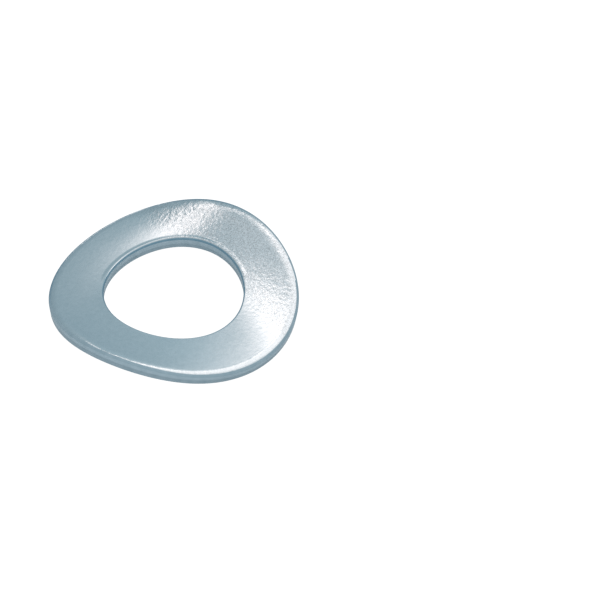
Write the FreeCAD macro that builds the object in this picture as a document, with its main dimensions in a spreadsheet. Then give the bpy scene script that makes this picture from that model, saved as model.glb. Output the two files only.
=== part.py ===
import FreeCAD, Part
import math
import os
import Sketcher
from FreeCAD import Base, Vector

# Wave spring washer for an M8 bolt: a round blank of spring steel sheet pressed into a saddle, so that two
# opposite ends stand up and the two ends between them reach down, and with a round hole pierced straight
# through it. It rests on its two lower ends. The origin is on the hole's axis, at the height where the
# washer rests. X runs through the raised ends, Y through the lower ends, and +Z points up.

doc = FreeCAD.newDocument("wave_spring_washer")

# Driving dimensions, in millimetres.
DIMENSIONS = [
    ("outer_diameter", 15.0, "round blank, seen from above, at the middle of the sheet"),
    ("hole_diameter", 8.4, "clearance hole for an M8 bolt"),
    ("sheet_thickness", 0.7, "spring steel sheet"),
    ("wave_height", 0.86, "half of the height from the lower ends to the raised ends"),
    ("end_lift", 0.08, "what all four ends stand above the plain wave; the sheet between them lies lower"),
    ("rolled_edge_width", 0.55, "soft edge that the stamping draws down, along the sheet"),
    ("rolled_edge_depth", 0.2, "the same edge, through the sheet"),
    ("underside_edge_radius", 0.06, "outer edge of the underside"),
    ("hole_top_edge_radius", 0.12, "upper edge of the hole"),
    ("hole_under_edge_radius", 0.05, "lower edge of the hole"),
]

sizes = doc.addObject("Spreadsheet::Sheet", "sizes")
for row, (alias, value, meaning) in enumerate(DIMENSIONS, start=1):
    sizes.set(f"A{row}", meaning)
    sizes.set(f"B{row}", str(value))
    sizes.setAlias(f"B{row}", alias)
doc.recompute()

blank_radius = sizes.outer_diameter / 2
half_sheet = sizes.sheet_thickness / 2

# Height of the washer's middle, at mid-sheet, above the lowest points of its underside's rounded edge.
lower_end_slope = math.atan((2 * sizes.wave_height - 4 * sizes.end_lift) / blank_radius)
corner = sizes.underside_edge_radius
middle_height = (sizes.wave_height - sizes.end_lift + (half_sheet - corner) * math.cos(lower_end_slope)
                 + corner * (1 - math.sin(lower_end_slope)))

# Number of rings that the rolled edge passes through, from the upper face to the wall.
ROLLED_EDGE_RINGS = 7

# A pressed surface is a smooth patch through a square grid of points, a little wider than the blank.
PATCH_REACH = 1.1 * blank_radius
PATCH_POINTS = 13
PATCH_TOLERANCE = 1e-5


def wave(x, y):
    """Height of the pressed mid-sheet at one place, above the height of its middle."""
    x = x / blank_radius
    y = y / blank_radius
    return sizes.wave_height * (x**2 - y**2) + sizes.end_lift * (x**4 - 6 * x**2 * y**2 + y**4)


def sheet_normal(x, y):
    """The direction square to the pressed mid-sheet at one place, pointing up."""
    x = x / blank_radius
    y = y / blank_radius
    rise_along_x = (2 * sizes.wave_height * x + sizes.end_lift * (4 * x**3 - 12 * x * y**2)) / blank_radius
    rise_along_y = (-2 * sizes.wave_height * y + sizes.end_lift * (4 * y**3 - 12 * x**2 * y)) / blank_radius
    return Vector(-rise_along_x, -rise_along_y, 1).normalize()


def pressed_point(x, y, level):
    """Where the pressing puts a point that is this far above mid-sheet in the flat blank."""
    return Vector(x, y, middle_height + wave(x, y)) + sheet_normal(x, y) * level


def level_of(point):
    """How far a point of the pressed washer is above mid-sheet."""
    rise = point.z - middle_height - wave(point.x, point.y)
    return rise * sheet_normal(point.x, point.y).z


def pressed_surface(level):
    """What a plane of the flat blank becomes. Its parameters are the place x and y at mid-sheet."""
    places = [PATCH_REACH * (2 * index / (PATCH_POINTS - 1) - 1) for index in range(PATCH_POINTS)]
    points = [[pressed_point(x, y, level) for y in places] for x in places]
    surface = Part.BSplineSurface()
    surface.approximate(Points=points, DegMin=3, DegMax=8, Continuity=2, Tolerance=PATCH_TOLERANCE,
                        ParamType="Uniform")
    surface.scaleKnotsToBounds(-PATCH_REACH, PATCH_REACH, -PATCH_REACH, PATCH_REACH)
    return surface


def pressed_circle(radius, surface):
    """A circle of the flat blank, on a pressed surface."""
    return Part.Geom2d.Circle2d(Base.Vector2d(0, 0), radius).toShape(surface)


def pressed_ring(radius, level):
    """A circle of the flat blank at one height in the sheet, after pressing."""
    return pressed_circle(radius, pressed_surface(level))


def pressed_face(radius, level):
    """A round face of the flat blank, after pressing."""
    surface = pressed_surface(level)
    face = Part.Face(surface, Part.Wire(pressed_circle(radius, surface)))
    face.validate()
    return face


def rolled_edge():
    """The upper outer edge: a quarter of an ellipse in section, from the upper face down to the wall."""
    width = sizes.rolled_edge_width
    depth = sizes.rolled_edge_depth
    rings = []
    for index in range(ROLLED_EDGE_RINGS):
        turn = math.radians(90) * index / (ROLLED_EDGE_RINGS - 1)
        radius = blank_radius - width + width * math.sin(turn)
        level = half_sheet - depth + depth * math.cos(turn)
        rings.append(Part.Wire(pressed_ring(radius, level)))
    return Part.makeLoft(rings, False, False)


def outer_wall():
    """The wall of the blank, square to the pressed sheet all the way round."""
    wall_top = pressed_ring(blank_radius, half_sheet - sizes.rolled_edge_depth)
    wall_foot = pressed_ring(blank_radius, -half_sheet)
    return Part.makeRuledSurface(wall_foot, wall_top)


def pressed_disc():
    """The whole blank after pressing, before its hole is pierced."""
    upper_face = pressed_face(blank_radius - sizes.rolled_edge_width, half_sheet)
    underside = pressed_face(blank_radius, -half_sheet)
    shell = Part.makeShell([upper_face, underside] + rolled_edge().Faces + outer_wall().Faces)
    shell.sewShape()
    return Part.makeSolid(shell)


pressed_blank = doc.addObject("Part::Feature", "pressed_blank")
pressed_blank.Label = "pressed_blank"
pressed_blank.Shape = pressed_disc()

washer = doc.addObject("PartDesign::Body", "washer")
washer.Label = "washer"
washer.BaseFeature = pressed_blank
doc.recompute()

# The hole, pierced straight down, so its wall is a true cylinder about Z.
plan = next(plane for plane in washer.Origin.OriginFeatures if plane.Role == "XY_Plane")
hole_outline = washer.newObject("Sketcher::SketchObject", "hole_outline")
hole_outline.AttachmentSupport = [(plan, "")]
hole_outline.MapMode = "FlatFace"
circle = hole_outline.addGeometry(Part.Circle(Vector(0, 0, 0), Vector(0, 0, 1), sizes.hole_diameter / 2))
hole_outline.addConstraint(Sketcher.Constraint("Coincident", circle, 3, -1, 1))
diameter = hole_outline.addConstraint(Sketcher.Constraint("Diameter", circle, sizes.hole_diameter))
hole_outline.renameConstraint(diameter, "hole_diameter")
hole_outline.setExpression("Constraints.hole_diameter", "sizes.hole_diameter")

pierced_hole = washer.newObject("PartDesign::Pocket", "pierced_hole")
pierced_hole.Profile = hole_outline
pierced_hole.Type = "ThroughAll"
pierced_hole.Midplane = True
doc.recompute()


def shared_edges(shape, one, other):
    """Names of the edges where a face of one kind meets a face of the other kind."""
    def edges_of(chosen):
        return {edge.hashCode() for face in shape.Faces if chosen(face) for edge in face.Edges}
    common = edges_of(one) & edges_of(other)
    return [f"Edge{number}" for number, edge in enumerate(shape.Edges, start=1) if edge.hashCode() in common]


def lies_at(face, level):
    """Whether every corner of a face is at this height in the sheet."""
    return all(abs(level_of(vertex.Point) - level) < 0.1 * sizes.sheet_thickness for vertex in face.Vertexes)


def is_hole_wall(face):
    return isinstance(face.Surface, Part.Cylinder)


def is_upper_face(face):
    return not is_hole_wall(face) and lies_at(face, half_sheet)


def is_underside(face):
    return not is_hole_wall(face) and lies_at(face, -half_sheet)


def is_outer_wall(face):
    return not (is_hole_wall(face) or is_upper_face(face) or is_underside(face))


def rounded(name, base, one, other):
    """Round the edges between two kinds of face; the radius is the size of the same name."""
    fillet = washer.newObject("PartDesign::Fillet", name)
    fillet.Base = (base, shared_edges(base.Shape, one, other))
    fillet.setExpression("Radius", f"sizes.{name}_radius")
    doc.recompute()
    return fillet


underside_edge = rounded("underside_edge", pierced_hole, is_outer_wall, is_underside)
hole_top_edge = rounded("hole_top_edge", underside_edge, is_hole_wall, is_upper_face)
hole_under_edge = rounded("hole_under_edge", hole_top_edge, is_hole_wall, is_underside)

washer.Tip = hole_under_edge
doc.recompute()

for item in doc.Objects:
    if {"Invalid", "Error"} & set(item.State):
        raise RuntimeError(f"{item.Name} did not build: {item.State}")
if washer.Shape.isNull() or not washer.Shape.isValid() or len(washer.Shape.Solids) != 1:
    raise RuntimeError("washer has no single valid solid")
if not washer.Shape.Volume < pressed_blank.Shape.Volume:
    raise RuntimeError("the hole takes nothing from the blank")

os.makedirs("parts", exist_ok=True)
washer.Shape.exportStep(f"parts/{washer.Label}.step")
print(f"washer: {washer.Shape.Volume:.3f} cubic millimetres")
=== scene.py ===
import math

import bmesh
import bpy
from mathutils import Matrix, Vector, noise


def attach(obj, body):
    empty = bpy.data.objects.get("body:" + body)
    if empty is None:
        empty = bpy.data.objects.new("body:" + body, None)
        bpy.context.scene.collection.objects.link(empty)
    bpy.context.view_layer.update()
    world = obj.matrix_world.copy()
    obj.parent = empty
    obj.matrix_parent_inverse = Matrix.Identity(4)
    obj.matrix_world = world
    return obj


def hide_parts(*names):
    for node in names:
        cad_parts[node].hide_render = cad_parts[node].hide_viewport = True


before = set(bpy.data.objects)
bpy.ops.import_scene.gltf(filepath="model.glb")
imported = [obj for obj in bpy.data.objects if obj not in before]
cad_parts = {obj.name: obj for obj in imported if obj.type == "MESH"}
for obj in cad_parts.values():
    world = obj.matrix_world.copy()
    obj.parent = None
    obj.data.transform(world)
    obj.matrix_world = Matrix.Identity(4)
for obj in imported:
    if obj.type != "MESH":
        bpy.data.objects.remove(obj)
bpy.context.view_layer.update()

# The washer's driving sizes. Lengths are in metres, and MM is one millimetre.
MM = 0.001
BLANK_RADIUS = 7.5 * MM
HOLE_RADIUS = 4.2 * MM
SHEET_THICKNESS = 0.7 * MM
WAVE_HEIGHT = 0.86 * MM
END_LIFT = 0.08 * MM
ROLLED_EDGE_WIDTH = 0.55 * MM
ROLLED_EDGE_DEPTH = 0.2 * MM
FOOT_RADIUS = 0.06 * MM
HOLE_TOP_WIDTH = 0.18 * MM
HOLE_TOP_RADIUS = 0.12 * MM
HOLE_FOOT_RADIUS = 0.05 * MM

# The rolled edge is wider round one end. The greater the widening, the sooner it has its full width.
ROLLED_EDGE_WIDEST = 0.95 * MM
ROLLED_EDGE_WIDEST_TOWARDS = math.radians(0)
ROLLED_EDGE_WIDE_SPAN = math.radians(55)
ROLLED_EDGE_WIDENING = 1.6

# A thin bead stands round one half of the hole. It begins and rises over shares of the hole's radius.
HOLE_BEAD_HEIGHT = 0.02 * MM
HOLE_BEAD_WIDTH = 0.12 * MM
HOLE_BEAD_CREST = HOLE_BEAD_WIDTH / 4
HOLE_BEAD_TOWARDS = Vector((0.86, 0.51, 0))
HOLE_BEAD_FROM = 0.15
HOLE_BEAD_RISE = 0.3

# A punched wall is smooth where the punch sheared it and a little further in where the steel broke.
SHEARED_SHARE = 0.55
BREAK_DEPTH = 0.006 * MM
BREAK_STEP = 0.03 * MM

# How finely the washer is divided, and how close points are merged.
MERGE_DISTANCE = MM / 10000
STEPS_AROUND = 480
FACE_CUTS = 16
EDGE_SEGMENTS = 12
CORNER_SEGMENTS = 6

# The unevenness of a stamped and tumbled part. In the rolled edge it is a share of the edge's own drop.
ROLL_UNEVENNESS = 0.10
ROLL_UNEVENNESS_SPACING = 1.6 * MM
ROLL_UNEVENNESS_SEED = 3
ROLL_NICKS = 0.09
ROLL_NICKS_SPACING = 0.35 * MM
ROLL_NICKS_SEED = 5
SURFACE_UNEVENNESS = 0.0012 * MM
SURFACE_UNEVENNESS_SPACING = 1.1 * MM
SURFACE_UNEVENNESS_SEED = 7

# Where the materials change, by a face's slope in the flat blank.
STEEPEST_PLATED = math.radians(22)
STEEPEST_WORN = math.radians(75)

# What follows from the driving sizes.
HALF_SHEET = SHEET_THICKNESS / 2
RING_WIDTH = BLANK_RADIUS - HOLE_RADIUS
BROKEN_LEVEL = HALF_SHEET - SHEARED_SHARE * SHEET_THICKNESS
ROLL_START = BLANK_RADIUS - ROLLED_EDGE_WIDTH
HOLE_EDGE_END = HOLE_RADIUS + HOLE_TOP_WIDTH
FACE_START = HOLE_EDGE_END + HOLE_BEAD_WIDTH
LOWER_END_SLOPE = math.atan((2 * WAVE_HEIGHT - 4 * END_LIFT) / BLANK_RADIUS)
MIDDLE_HEIGHT = (WAVE_HEIGHT - END_LIFT + (HALF_SHEET - FOOT_RADIUS) * math.cos(LOWER_END_SLOPE)
                 + FOOT_RADIUS * (1 - math.sin(LOWER_END_SLOPE)))

# The camera, at the photograph's viewing angle.
CAMERA_AIM = Vector((4.284 * MM, -6.275 * MM, 0))
CAMERA_DISTANCE = 451.05 * MM
CAMERA_AZIMUTH = math.radians(-59.56)
CAMERA_ELEVATION = math.radians(44.509)
CAMERA_ROLL = math.radians(-0.415)
CAMERA_LENS = 449.5
CAMERA_SENSOR = 36.0


def direction(azimuth, elevation):
    """The unit vector at these angles; azimuth 0 is towards -Y and 90 degrees towards +X."""
    return Vector((math.sin(azimuth) * math.cos(elevation),
                   -math.cos(azimuth) * math.cos(elevation),
                   math.sin(elevation)))


def sky_direction(x, y):
    """The unit vector upwards whose level parts are x and y."""
    return Vector((x, y, math.sqrt(1 - x * x - y * y)))


def make_camera():
    back = direction(CAMERA_AZIMUTH, CAMERA_ELEVATION)
    data = bpy.data.cameras.new("camera")
    data.lens = CAMERA_LENS
    data.sensor_width = CAMERA_SENSOR
    camera = bpy.data.objects.new("camera", data)
    level = (-back).to_track_quat("-Z", "Y").to_matrix().to_4x4()
    camera.matrix_world = (Matrix.Translation(CAMERA_AIM + back * CAMERA_DISTANCE) @ level
                           @ Matrix.Rotation(CAMERA_ROLL, 4, "Z"))
    bpy.context.scene.collection.objects.link(camera)
    bpy.context.scene.camera = camera


# Noise stays between these two nearly everywhere.
NOISE_LOW = 0.3
NOISE_HIGH = 0.7


class Nodes:
    """The node tree of one material or world, with short ways to add and join nodes."""

    def __init__(self, owner):
        owner.use_nodes = True
        self.tree = owner.node_tree
        self.tree.nodes.clear()

    def add(self, kind, **settings):
        node = self.tree.nodes.new(kind)
        for name, value in settings.items():
            if hasattr(node, name):
                setattr(node, name, value)
            else:
                node.inputs[name.replace("_", " ")].default_value = value
        return node

    def join(self, output, socket):
        self.tree.links.new(output, socket)

    def maths(self, operation, first, second=0.0):
        """A Math node whose inputs are sockets or numbers."""
        node = self.add("ShaderNodeMath", operation=operation)
        for socket, value in zip(node.inputs, (first, second)):
            if isinstance(value, (int, float)):
                socket.default_value = value
            else:
                self.join(value, socket)
        return node.outputs[0]

    def ramp(self, value, stops):
        """A Color Ramp through stops of place and colour."""
        node = self.add("ShaderNodeValToRGB")
        elements = node.color_ramp.elements
        while len(elements) < len(stops):
            elements.new(0.5)
        for element, (place, colour) in zip(elements, stops):
            element.position = place
            element.color = (*colour, 1)
        self.join(value, node.inputs["Fac"])
        return node.outputs["Color"]

    def millimetres(self):
        """The place on the object, in millimetres."""
        place = self.add("ShaderNodeTexCoord")
        scaled = self.add("ShaderNodeMapping", Scale=(1 / MM, 1 / MM, 1 / MM))
        self.join(place.outputs["Object"], scaled.inputs["Vector"])
        return scaled.outputs["Vector"]

    def smooth_step(self, value, start, end, low, high):
        """A smooth change from low to high while the value goes from start to end."""
        node = self.add("ShaderNodeMapRange", interpolation_type="SMOOTHSTEP")
        self.join(value, node.inputs["Value"])
        for name, number in (("From Min", start), ("From Max", end), ("To Min", low), ("To Max", high)):
            node.inputs[name].default_value = number
        return node.outputs["Result"]

    def along(self, where, axis):
        """How far a place lies along an axis."""
        node = self.add("ShaderNodeVectorMath", operation="DOT_PRODUCT")
        node.inputs[1].default_value = axis
        self.join(where, node.inputs[0])
        return node.outputs["Value"]

    def radius(self, where):
        """How far a place is from the hole's axis."""
        level = self.add("ShaderNodeVectorMath", operation="MULTIPLY")
        level.inputs[1].default_value = (1, 1, 0)
        self.join(where, level.inputs[0])
        length = self.add("ShaderNodeVectorMath", operation="LENGTH")
        self.join(level.outputs["Vector"], length.inputs[0])
        return length.outputs["Value"]

    def times(self, colour, factor):
        """A colour multiplied by another colour or by a number."""
        node = self.add("ShaderNodeVectorMath", operation="MULTIPLY")
        self.join(colour, node.inputs[0])
        self.join(factor, node.inputs[1])
        return node.outputs["Vector"]

    def noise(self, where, size, detail, roughness=0.5):
        """Noise whose lumps are about this many millimetres across."""
        node = self.add("ShaderNodeTexNoise", Scale=1 / size, Detail=detail, Roughness=roughness)
        self.join(where, node.inputs["Vector"])
        return node.outputs["Fac"]

    def patchy(self, where, size, one, other, detail):
        """A colour that drifts between two shades, in patches about this many millimetres across."""
        return self.ramp(self.noise(where, size, detail), [(NOISE_LOW, one), (NOISE_HIGH, other)])

    def bump(self, height, depth, under=None):
        """A Bump node; depth is in millimetres for a height of one."""
        node = self.add("ShaderNodeBump", Strength=1.0, Distance=depth * MM)
        self.join(height, node.inputs["Height"])
        if under is not None:
            self.join(under, node.inputs["Normal"])
        return node.outputs["Normal"]


def seen_directly(nodes):
    """One where the camera looks straight, or through a reflection or glass; otherwise nothing."""
    path = nodes.add("ShaderNodeLightPath")
    shiny = nodes.maths("MAXIMUM", path.outputs["Is Glossy Ray"], path.outputs["Is Transmission Ray"])
    return nodes.maths("MAXIMUM", path.outputs["Is Camera Ray"], shiny)


# The studio: a white world, a white floor, a grey screen that the metal reflects, and one soft lamp.
WHITE = (1, 1, 1, 1)
WORLD_LEVEL = 0.75
WORLD_TINT = (0.97, 0.985, 1.0, 1)


def make_world():
    world = bpy.data.worlds.new("white_studio")
    bpy.context.scene.world = world
    nodes = Nodes(world)
    soft = nodes.add("ShaderNodeBackground", Color=WORLD_TINT, Strength=WORLD_LEVEL)
    white = nodes.add("ShaderNodeBackground", Color=WHITE, Strength=1.0)
    mix = nodes.add("ShaderNodeMixShader")
    out = nodes.add("ShaderNodeOutputWorld")
    nodes.join(seen_directly(nodes), mix.inputs[0])
    nodes.join(soft.outputs[0], mix.inputs[1])
    nodes.join(white.outputs[0], mix.inputs[2])
    nodes.join(mix.outputs[0], out.inputs["Surface"])


FLOOR_SIZE = 600 * MM
FLOOR_COLOUR = (0.8, 0.8, 0.8, 1)
FLOOR_WHITE = 0.90
FLOOR_SHADE = 0.25


def white_floor_material():
    """White where it is seen, with part of its own shading for the washer's shadow; clear from beneath."""
    material = bpy.data.materials.new("white_floor")
    nodes = Nodes(material)
    paper = nodes.add("ShaderNodeBsdfDiffuse", Color=FLOOR_COLOUR)
    white = nodes.add("ShaderNodeEmission", Color=WHITE, Strength=FLOOR_WHITE / (1 - FLOOR_SHADE))
    seen = nodes.maths("MULTIPLY", seen_directly(nodes), 1 - FLOOR_SHADE)
    mix = nodes.add("ShaderNodeMixShader")
    out = nodes.add("ShaderNodeOutputMaterial")
    nodes.join(seen, mix.inputs[0])
    nodes.join(paper.outputs[0], mix.inputs[1])
    nodes.join(white.outputs[0], mix.inputs[2])
    side = nodes.add("ShaderNodeNewGeometry")
    clear = nodes.add("ShaderNodeBsdfTransparent")
    from_beneath = nodes.add("ShaderNodeMixShader")
    nodes.join(side.outputs["Backfacing"], from_beneath.inputs[0])
    nodes.join(mix.outputs[0], from_beneath.inputs[1])
    nodes.join(clear.outputs[0], from_beneath.inputs[2])
    nodes.join(from_beneath.outputs[0], out.inputs["Surface"])
    return material


def object_from(bm, name, *materials):
    """A mesh object at the origin, made from a bmesh."""
    mesh = bpy.data.meshes.new(name)
    bm.to_mesh(mesh)
    bm.free()
    for material in materials:
        mesh.materials.append(material)
    made = bpy.data.objects.new(name, mesh)
    bpy.context.scene.collection.objects.link(made)
    return made


def make_floor():
    bm = bmesh.new()
    bmesh.ops.create_grid(bm, x_segments=1, y_segments=1, size=FLOOR_SIZE)
    object_from(bm, "floor", white_floor_material())


# The screen's cloth: its colour by height, from 0 at the horizon to 1 overhead, and brighter to both sides.
SCREEN_RADIUS = 620 * MM
SCREEN_SEGMENTS = 96
SCREEN_FOOT = math.radians(1)
SCREEN_COLOURS = [
    (0.00, (0.200, 0.273, 0.312)),
    (0.30, (0.204, 0.280, 0.319)),
    (0.50, (0.228, 0.309, 0.350)),
    (0.65, (0.246, 0.338, 0.384)),
    (0.80, (0.311, 0.392, 0.434)),
    (0.93, (0.396, 0.475, 0.517)),
]
SCREEN_SIDE_GLOW = 0.553

# The panels of light in the screen. Turns and half sizes are in radians, and a low softness gives long
# faint tails round a panel.
GLOW_TINT = (1.135, 0.975, 0.918, 1)
BROAD_PANEL = dict(towards=sky_direction(0.710, -0.200), turn=-0.09, half_width=0.292, half_length=0.410,
                   softness=2.7, strength=0.66)
STRIP_PANEL = dict(towards=sky_direction(0.388, 0.504), turn=1.07, half_width=0.208, half_length=0.046,
                   softness=1.8, strength=1.08)
SLANTED_PANEL = dict(towards=sky_direction(0.556, 0.112), turn=2.20, half_width=0.055, half_length=0.145,
                     softness=2.07, strength=0.80)
RIM_PANEL = dict(towards=sky_direction(0.490, 0.335), turn=-0.02, half_width=0.130, half_length=0.038,
                 softness=3.0, strength=0.75)
FAINT_PANEL = dict(towards=sky_direction(0.180, 0.270), turn=0.0, half_width=0.190, half_length=0.190,
                   softness=2.0, strength=0.10)
PANELS = [BROAD_PANEL, STRIP_PANEL, SLANTED_PANEL, RIM_PANEL, FAINT_PANEL]


def soft_panel(nodes, way, towards, turn, half_width, half_length, softness, strength):
    """The light of one soft-edged panel of the screen, in the direction held by the socket way."""
    level = Vector((0, 0, 1)).cross(towards).normalized()
    upright = towards.cross(level)
    sideways = math.cos(turn) * level + math.sin(turn) * upright
    lengthways = math.cos(turn) * upright - math.sin(turn) * level
    ahead = nodes.along(way, towards)
    falloff = 0.0
    for axis, half_size in ((sideways, half_width), (lengthways, half_length)):
        angle = nodes.maths("ABSOLUTE", nodes.maths("ARCTAN2", nodes.along(way, axis), ahead))
        share = nodes.maths("DIVIDE", angle, half_size)
        falloff = nodes.maths("ADD", falloff, nodes.maths("POWER", share, softness))
    glow = nodes.maths("EXPONENT", nodes.maths("MULTIPLY", falloff, -1.0))
    in_front = nodes.maths("GREATER_THAN", ahead, 0.0)
    return nodes.maths("MULTIPLY", nodes.maths("MULTIPLY", glow, in_front), strength)


def grey_screen_material():
    """A screen of blue-grey cloth with soft-edged panels of light in it."""
    material = bpy.data.materials.new("grey_screen")
    nodes = Nodes(material)
    place = nodes.add("ShaderNodeTexCoord")
    outwards = nodes.add("ShaderNodeVectorMath", operation="NORMALIZE")
    nodes.join(place.outputs["Object"], outwards.inputs[0])
    way = outwards.outputs["Vector"]
    split = nodes.add("ShaderNodeSeparateXYZ")
    nodes.join(way, split.inputs[0])
    cloth = nodes.ramp(split.outputs["Z"], SCREEN_COLOURS)
    sideways = nodes.maths("MULTIPLY", nodes.maths("ABSOLUTE", split.outputs["X"]), SCREEN_SIDE_GLOW)
    cloth_glow = nodes.add("ShaderNodeEmission")
    nodes.join(cloth, cloth_glow.inputs["Color"])
    nodes.join(nodes.maths("ADD", sideways, 1.0), cloth_glow.inputs["Strength"])
    light = 0.0
    for panel in PANELS:
        light = nodes.maths("ADD", light, soft_panel(nodes, way, **panel))
    panel_glow = nodes.add("ShaderNodeEmission", Color=GLOW_TINT)
    nodes.join(light, panel_glow.inputs["Strength"])
    both = nodes.add("ShaderNodeAddShader")
    out = nodes.add("ShaderNodeOutputMaterial")
    nodes.join(cloth_glow.outputs[0], both.inputs[0])
    nodes.join(panel_glow.outputs[0], both.inputs[1])
    nodes.join(both.outputs[0], out.inputs["Surface"])
    return material


def make_screen():
    """A closed dome round the washer, which the metal reflects."""
    bm = bmesh.new()
    bmesh.ops.create_uvsphere(bm, u_segments=SCREEN_SEGMENTS, v_segments=SCREEN_SEGMENTS // 2,
                              radius=SCREEN_RADIUS)
    everything = bm.verts[:] + bm.edges[:] + bm.faces[:]
    foot = Vector((0, 0, SCREEN_RADIUS * math.sin(SCREEN_FOOT)))
    bmesh.ops.bisect_plane(bm, geom=everything, plane_co=foot, plane_no=(0, 0, -1), clear_outer=True)
    screen = object_from(bm, "grey_screen", grey_screen_material())
    screen.visible_camera = False
    screen.visible_diffuse = False
    screen.visible_shadow = False


FILL_SIZE = 500 * MM
FILL_DISTANCE = 560 * MM
FILL_STRENGTH = 1.6
FILL_TOWARDS = sky_direction(-0.3, -0.3)


def make_lamp():
    """One broad soft lamp overhead, for dull surfaces; the metal reflects the screen instead."""
    data = bpy.data.lights.new("fill_lamp", "AREA")
    data.shape = "SQUARE"
    data.size = FILL_SIZE
    data.energy = FILL_STRENGTH * math.pi * FILL_SIZE**2
    lamp = bpy.data.objects.new("fill_lamp", data)
    facing = FILL_TOWARDS.to_track_quat("Z", "Y").to_matrix().to_4x4()
    lamp.matrix_world = Matrix.Translation(FILL_TOWARDS * FILL_DISTANCE) @ facing
    lamp.visible_camera = False
    lamp.visible_glossy = False
    bpy.context.scene.collection.objects.link(lamp)


# The zinc plating. In the materials, sizes, depths and places are in millimetres.
PLATING_DULL = (0.820, 0.850, 0.865)
PLATING_BRIGHT = (0.900, 0.915, 0.925)
PLATING_PATCH_SIZE = 0.3
PLATING_SHEEN = (0.80, 0.90, 1.0, 1)
SHINIEST_ROUGHNESS = (0.09, 0.09, 0.09)
DULLEST_ROUGHNESS = (0.13, 0.13, 0.13)
GLOSS_PATCH_SIZE = 0.25

# Its grain: fine lumps over broader dapples, with darker pits between, weaker towards the smooth end.
GRAIN_SIZE = 0.085
GRAIN_DEPTH = 0.0036
DAPPLE_SIZE = 0.22
DAPPLE_DEPTH = 0.0065
PIT_SIZE = 0.075
PIT_SHARPNESS = 0.6
PIT_FROM = 0.42
PIT_TO = 0.68
PIT_DARKNESS = 0.34
GRAIN_COARSENS_TOWARDS = (1.0, -0.35, 0.0)
GRAIN_FINE_UNTIL = 2.0
GRAIN_COARSE_FROM = 4.2
GRAIN_FINE_SHARE = 0.20
RIM_GRAIN_FROM = 6.85
RIM_GRAIN_TO = 7.15
RIM_GRAIN_SHARE = 0.75

# The punched walls: dull, with fine upright scoring.
WALL_METALLIC = 0.15
WALL_ROUGHNESS = 0.5
WALL_SPECULAR = 0.1
WALL_SHEEN = (0.35, 0.42, 0.48, 1)
WALL_PATCH_SIZE = 0.5
SCORING_SIZE = 0.07
SCORING_DEPTH = 0.004
SCORING_STRETCH = (1, 1, 0.15)
WORN_DULL = (0.235, 0.328, 0.380)
WORN_BRIGHT = (0.275, 0.368, 0.420)
SHEARED_DULL = (0.285, 0.385, 0.440)
SHEARED_BRIGHT = (0.330, 0.430, 0.490)
BROKEN_DULL = (0.222, 0.310, 0.362)
BROKEN_BRIGHT = (0.262, 0.350, 0.405)

# Painted shade on the worn edge: the share of its colour left where it is darkened, on the rim's side away
# from the camera and all round the hole's edge.
NO_PAINTED_SHADE = (1, 1, 1)
PAINTED_SHADE = (0.55, 0.70, 0.78)
SHADE_PAINTED_TOWARDS = (0.5, 0.87, 0.0)
SHADE_PAINTED_FROM = 1.6
SHADE_PAINTED_TO = 5.5
HOLE_SHADE_PAINTED_UNTIL = 5
HOLE_SHADE_PAINTED_GONE = 6


def zinc_plate_material():
    """Bright zinc over fine-grained sheet, smooth at one end and coarser towards the other."""
    material = bpy.data.materials.new("zinc_plate")
    nodes = Nodes(material)
    metal = nodes.add("ShaderNodeBsdfPrincipled", Metallic=1.0)
    metal.inputs["Specular Tint"].default_value = PLATING_SHEEN
    where = nodes.millimetres()
    roughness = nodes.patchy(where, GLOSS_PATCH_SIZE, SHINIEST_ROUGHNESS, DULLEST_ROUGHNESS, detail=2)
    nodes.join(roughness, metal.inputs["Roughness"])
    coarse = nodes.smooth_step(nodes.along(where, GRAIN_COARSENS_TOWARDS),
                               GRAIN_FINE_UNTIL, GRAIN_COARSE_FROM, GRAIN_FINE_SHARE, 1)
    on_rim = nodes.smooth_step(nodes.radius(where), RIM_GRAIN_FROM, RIM_GRAIN_TO, 0, RIM_GRAIN_SHARE)
    colour = nodes.patchy(where, PLATING_PATCH_SIZE, PLATING_DULL, PLATING_BRIGHT, detail=4)
    pitting = nodes.noise(where, PIT_SIZE, detail=1, roughness=PIT_SHARPNESS)
    pits = nodes.ramp(pitting, [(PIT_FROM, (0, 0, 0)), (PIT_TO, (1, 1, 1))])
    lost = nodes.maths("MULTIPLY", nodes.maths("MULTIPLY", pits, coarse), PIT_DARKNESS)
    nodes.join(nodes.times(colour, nodes.maths("SUBTRACT", 1.0, lost)), metal.inputs["Base Color"])
    share = nodes.maths("MAXIMUM", coarse, on_rim)
    lumps = nodes.maths("MULTIPLY", nodes.noise(where, GRAIN_SIZE, detail=0), share)
    dapples = nodes.maths("MULTIPLY", nodes.noise(where, DAPPLE_SIZE, detail=0), share)
    grain = nodes.bump(dapples, DAPPLE_DEPTH, under=nodes.bump(lumps, GRAIN_DEPTH))
    nodes.join(grain, metal.inputs["Normal"])
    out = nodes.add("ShaderNodeOutputMaterial")
    nodes.join(metal.outputs[0], out.inputs["Surface"])
    return material


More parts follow.
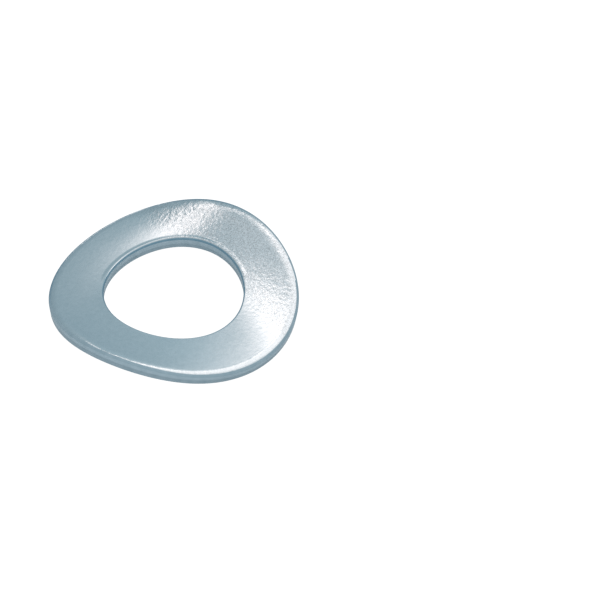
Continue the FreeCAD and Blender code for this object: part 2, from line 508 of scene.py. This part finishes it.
def punched_wall_material(name, dull, bright, painted_shade=NO_PAINTED_SHADE):
    """Plated steel where the punch cut it: duller and scored, and darkened in places by painted shade when
    one is given.
    """
    material = bpy.data.materials.new(name)
    nodes = Nodes(material)
    metal = nodes.add("ShaderNodeBsdfPrincipled", Metallic=WALL_METALLIC, Roughness=WALL_ROUGHNESS)
    metal.inputs["Specular IOR Level"].default_value = WALL_SPECULAR
    metal.inputs["Specular Tint"].default_value = WALL_SHEEN
    where = nodes.millimetres()
    colour = nodes.patchy(where, WALL_PATCH_SIZE, dull, bright, detail=3)
    # Painted shade: the edge is darkened on one side of the rim and round the hole's edge.
    painted_shade_side = nodes.smooth_step(nodes.along(where, SHADE_PAINTED_TOWARDS), SHADE_PAINTED_FROM, SHADE_PAINTED_TO, 0, 1)
    painted_shade_at_hole = nodes.smooth_step(nodes.radius(where), HOLE_SHADE_PAINTED_UNTIL, HOLE_SHADE_PAINTED_GONE, 1, 0)
    left_by_painted_shade = nodes.ramp(nodes.maths("MAXIMUM", painted_shade_side, painted_shade_at_hole), [(0, NO_PAINTED_SHADE), (1, painted_shade)])
    nodes.join(nodes.times(colour, left_by_painted_shade), metal.inputs["Base Color"])
    upright = nodes.add("ShaderNodeMapping", Scale=SCORING_STRETCH)
    nodes.join(where, upright.inputs["Vector"])
    scoring = nodes.bump(nodes.noise(upright.outputs["Vector"], SCORING_SIZE, detail=2), SCORING_DEPTH)
    nodes.join(scoring, metal.inputs["Normal"])
    out = nodes.add("ShaderNodeOutputMaterial")
    nodes.join(metal.outputs[0], out.inputs["Surface"])
    return material


def wave(x, y):
    """Height of the pressed mid-sheet at one place, above the height of its middle."""
    x = x / BLANK_RADIUS
    y = y / BLANK_RADIUS
    return WAVE_HEIGHT * (x**2 - y**2) + END_LIFT * (x**4 - 6 * x**2 * y**2 + y**4)


def sheet_normal(x, y):
    """The direction square to the pressed mid-sheet at one place, pointing up."""
    x = x / BLANK_RADIUS
    y = y / BLANK_RADIUS
    rise_along_x = (2 * WAVE_HEIGHT * x + END_LIFT * (4 * x**3 - 12 * x * y**2)) / BLANK_RADIUS
    rise_along_y = (-2 * WAVE_HEIGHT * y + END_LIFT * (4 * y**3 - 12 * x**2 * y)) / BLANK_RADIUS
    return Vector((-rise_along_x, -rise_along_y, 1)).normalized()


def press(place, level):
    """Where the pressing puts a point of the flat blank. The wall of the hole stays upright."""
    x, y = place
    normal = sheet_normal(x, y)
    radius = math.hypot(x, y)
    upright = (BLANK_RADIUS - radius) / RING_WIDTH
    x -= upright * level * normal.x
    y -= upright * level * normal.y
    return Vector((x, y, MIDDLE_HEIGHT + wave(x, y))) + sheet_normal(x, y) * level


def arc(centre, width, depth, start, end, segments):
    """Points of an ellipse's arc in the section; the angles are in degrees."""
    for index in range(segments + 1):
        turn = math.radians(start + (end - start) * index / segments)
        yield Vector((centre[0] + width * math.cos(turn), 0, centre[1] + depth * math.sin(turn)))


def section_outline():
    """The ring's section in the flat blank, counter-clockwise from the outer end of its underside."""
    outer_foot = BLANK_RADIUS - BREAK_DEPTH
    hole_foot = HOLE_RADIUS + BREAK_DEPTH
    points = list(arc((outer_foot - FOOT_RADIUS, -HALF_SHEET + FOOT_RADIUS),
                      FOOT_RADIUS, FOOT_RADIUS, -90, 0, CORNER_SEGMENTS))
    points.append(Vector((outer_foot, 0, BROKEN_LEVEL - BREAK_STEP)))
    points.append(Vector((BLANK_RADIUS, 0, BROKEN_LEVEL)))
    points += arc((ROLL_START, HALF_SHEET - ROLLED_EDGE_DEPTH),
                  ROLLED_EDGE_WIDTH, ROLLED_EDGE_DEPTH, 0, 90, EDGE_SEGMENTS)
    points.append(Vector((FACE_START, 0, HALF_SHEET)))
    points.append(Vector((HOLE_EDGE_END + HOLE_BEAD_CREST, 0, HALF_SHEET + HOLE_BEAD_HEIGHT)))
    points += arc((HOLE_EDGE_END, HALF_SHEET - HOLE_TOP_RADIUS),
                  HOLE_TOP_WIDTH, HOLE_TOP_RADIUS + HOLE_BEAD_HEIGHT, 90, 180, CORNER_SEGMENTS)
    points.append(Vector((HOLE_RADIUS, 0, BROKEN_LEVEL)))
    points.append(Vector((hole_foot, 0, BROKEN_LEVEL - BREAK_STEP)))
    points += arc((hole_foot + HOLE_FOOT_RADIUS, -HALF_SHEET + HOLE_FOOT_RADIUS),
                  HOLE_FOOT_RADIUS, HOLE_FOOT_RADIUS, 180, 270, CORNER_SEGMENTS)
    return points


def flat_ring():
    """The flat blank with its hole: the section, spun once about Z."""
    bm = bmesh.new()
    verts = [bm.verts.new(point) for point in section_outline()]
    edges = [bm.edges.new((verts[index - 1], verts[index])) for index in range(len(verts))]
    broad = [edge for edge in edges if edge.calc_length() > RING_WIDTH / 2]
    bmesh.ops.subdivide_edges(bm, edges=broad, cuts=FACE_CUTS)
    bmesh.ops.spin(bm, geom=bm.verts[:] + bm.edges[:], cent=(0, 0, 0), axis=(0, 0, 1),
                   angle=math.tau, steps=STEPS_AROUND, use_merge=True)
    bmesh.ops.remove_doubles(bm, verts=bm.verts, dist=MERGE_DISTANCE)
    bmesh.ops.recalc_face_normals(bm, faces=bm.faces)
    return bm


# The washer's materials, in the order of its material slots.
PLATED, WORN, SHEARED, BROKEN = range(4)


def mark_walls(bm):
    """Give the steep faces the punched walls' materials, while the ring is flat."""
    for face in bm.faces:
        if abs(face.normal.z) > math.cos(STEEPEST_PLATED):
            face.material_index = PLATED
        elif face.normal.z > math.cos(STEEPEST_WORN):
            face.material_index = WORN
        elif face.calc_center_median().z > BROKEN_LEVEL:
            face.material_index = SHEARED
        else:
            face.material_index = BROKEN
        face.smooth = True


def uneven(place, spacing, seed):
    """A smooth random number from -1 to 1 that changes over this spacing."""
    return noise.noise(Vector(place) / spacing + Vector((seed, 0, 0)))


def soft_step(share):
    """A smooth step from nothing at 0 to one at 1."""
    share = min(1, max(0, share))
    return share * share * (3 - 2 * share)


def roll_width(place):
    """Width of the rolled edge on this side of the washer: the stamping drew one end down more softly."""
    away = abs(math.remainder(math.atan2(place.y, place.x) - ROLLED_EDGE_WIDEST_TOWARDS, math.tau))
    extra = ROLLED_EDGE_WIDEST - ROLLED_EDGE_WIDTH
    return ROLLED_EDGE_WIDTH + extra * soft_step(ROLLED_EDGE_WIDENING * (1 - away / ROLLED_EDGE_WIDE_SPAN))


def widen_roll(place):
    """Move a point of the upper face in the flat blank inwards, to make room for the local rolled edge."""
    radius = math.hypot(place.x, place.y)
    width = roll_width(place)
    if radius > ROLL_START:
        moved = BLANK_RADIUS - (BLANK_RADIUS - radius) * width / ROLLED_EDGE_WIDTH
    else:
        room = BLANK_RADIUS - width - FACE_START
        moved = FACE_START + (radius - FACE_START) * room / (ROLL_START - FACE_START)
    place.x *= moved / radius
    place.y *= moved / radius


def bead_share(place):
    """How much of the bead round the hole there is here: all on one side, none on the other."""
    towards_bead = place.dot(HOLE_BEAD_TOWARDS) / HOLE_RADIUS
    return soft_step((towards_bead - HOLE_BEAD_FROM) / HOLE_BEAD_RISE)


def make_washer():
    """The whole ring: its rolled edge widened and marked while flat, then roughened and pressed."""
    bm = flat_ring()
    for vert in bm.verts:
        if vert.co.z > 0 and math.hypot(vert.co.x, vert.co.y) > FACE_START:
            widen_roll(vert.co)
    bm.normal_update()
    mark_walls(bm)
    for vert in bm.verts:
        radius = math.hypot(vert.co.x, vert.co.y)
        level = vert.co.z
        in_roll = max(0, 1 - (BLANK_RADIUS - radius) / roll_width(vert.co))
        if level > 0 and in_roll > 0:
            drop = HALF_SHEET - level
            dent = (ROLL_UNEVENNESS * uneven(vert.co, ROLL_UNEVENNESS_SPACING, ROLL_UNEVENNESS_SEED)
                    + ROLL_NICKS * uneven(vert.co, ROLL_NICKS_SPACING, ROLL_NICKS_SEED))
            level -= drop * dent * (1 - in_roll)
        if level > HALF_SHEET:
            level = HALF_SHEET + (level - HALF_SHEET) * bead_share(vert.co)
        dip = uneven(vert.co, SURFACE_UNEVENNESS_SPACING, SURFACE_UNEVENNESS_SEED)
        level -= SURFACE_UNEVENNESS * (1 + dip)
        vert.co = press((vert.co.x, vert.co.y), level)
    # The worn edge's material also carries painted shade on one side of the rim and round the hole.
    washer = object_from(bm, "plated_washer", zinc_plate_material(),
                         punched_wall_material("worn_edge_with_painted_shade", WORN_DULL, WORN_BRIGHT, PAINTED_SHADE),
                         punched_wall_material("sheared_wall", SHEARED_DULL, SHEARED_BRIGHT),
                         punched_wall_material("broken_wall", BROKEN_DULL, BROKEN_BRIGHT))
    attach(washer, "root")
    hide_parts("washer")


bpy.context.scene.view_settings.view_transform = "Standard"
make_camera()
make_world()
make_floor()
make_screen()
make_lamp()
make_washer()
